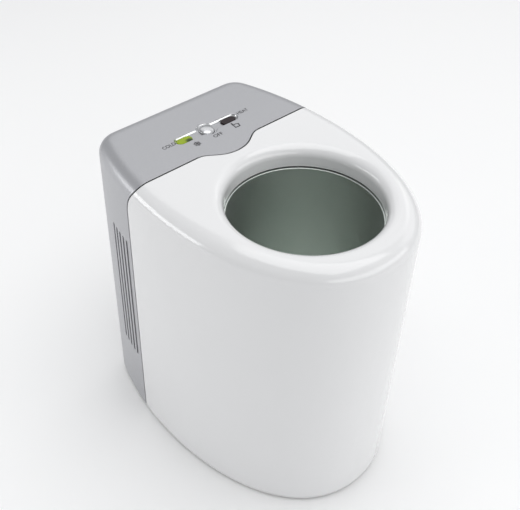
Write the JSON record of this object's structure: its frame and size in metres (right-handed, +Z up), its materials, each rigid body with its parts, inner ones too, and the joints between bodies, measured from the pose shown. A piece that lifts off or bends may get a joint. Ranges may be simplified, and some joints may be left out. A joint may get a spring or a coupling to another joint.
{
  "type": "single bottle thermoelectric cooler",
  "caption": "Table-top cooler and warmer for one bottle: white rounded shell with a rolled well mouth, grey rear housing with air slots, a push button and indicator windows.",
  "frame": {"origin": "centre of the footprint, on the surface that the feet stand on", "axes": "+Z up, -Y towards the rounded front with the well, +Y towards the flat back with the fan"},
  "size_m": [0.1242, 0.1686, 0.1784],
  "materials": {
    "white_shell": "glossy white moulding",
    "grey_paint": "satin silver-grey paint on plastic",
    "base_plastic": "fine textured plastic",
    "cup_aluminium": "drawn, satin anodised",
    "cast_aluminium": "as cast, milled faces",
    "sink_aluminium": "extruded",
    "ceramic": "white ceramic",
    "solder_metal": "dull",
    "zinc_steel": "bright zinc",
    "brass_sleeve": "turned",
    "black_plastic": "black moulding",
    "board": "green solder mask",
    "silver_button": "plated plastic",
    "cold_lens": "clear green, lit",
    "heat_lens": "dark red, unlit",
    "foam": "white bead foam",
    "black_rubber": "matt",
    "black_sleeve": "soft insulation",
    "red_sleeve": "soft insulation"
  },
  "bodies": {
    "housing": {"base_plate": "base_plastic", "base_screws": "zinc_steel", "board_screws": "zinc_steel", "bulkhead": "base_plastic", "clamp_screws": "zinc_steel", "cold_block": "cast_aluminium", "cold_lamp": "cold_lens", "cold_window": "cold_lens", "control_board": "board", "cup_screws": "zinc_steel", "dc_pin_left": "brass_sleeve", "dc_pin_right": "brass_sleeve", "dc_socket": "black_plastic", "fan_bearing": "brass_sleeve", "fan_frame": "black_plastic", "fan_lead": "black_sleeve", "fan_screws": "zinc_steel", "fan_stator": "solder_metal", "foam_jacket": "foam", "foot_1": "black_rubber", "foot_2": "black_rubber", "foot_3": "black_rubber", "foot_4": "black_rubber", "front_shell": "white_shell", "heat_lamp": "heat_lens", "heat_sink": "sink_aluminium", "heat_window": "heat_lens", "pump_cold_plate": "ceramic", "pump_gasket": "foam", "pump_hot_plate": "ceramic", "pump_lead_black": "black_sleeve", "pump_lead_red": "red_sleeve", "pump_pellets": "solder_metal", "rear_housing": "grey_paint", "seam_seal": "black_rubber", "supply_lead_black": "black_sleeve", "supply_lead_red": "red_sleeve", "switch_body": "black_plastic", "well_cup": "cup_aluminium", "well_gasket": "black_rubber"},
    "button": {"mode_button": "silver_button", "switch_plunger": "black_plastic"},
    "rotor": {"fan_rotor": "black_plastic", "fan_axle": "zinc_steel"}
  },
  "joints": [
    {"name": "button_press", "type": "slide", "parent": "housing", "child": "button", "axis": [0, 0, -1], "range_m": [0, 0.0012], "stiffness_N_per_m": 900, "springref_m": -0.0006},
    {"name": "rotor_spin", "type": "hinge", "parent": "housing", "child": "rotor", "pos_m": [0, 0.0675, 0.095], "axis": [0, 1, 0], "continuous": true}
  ]
}
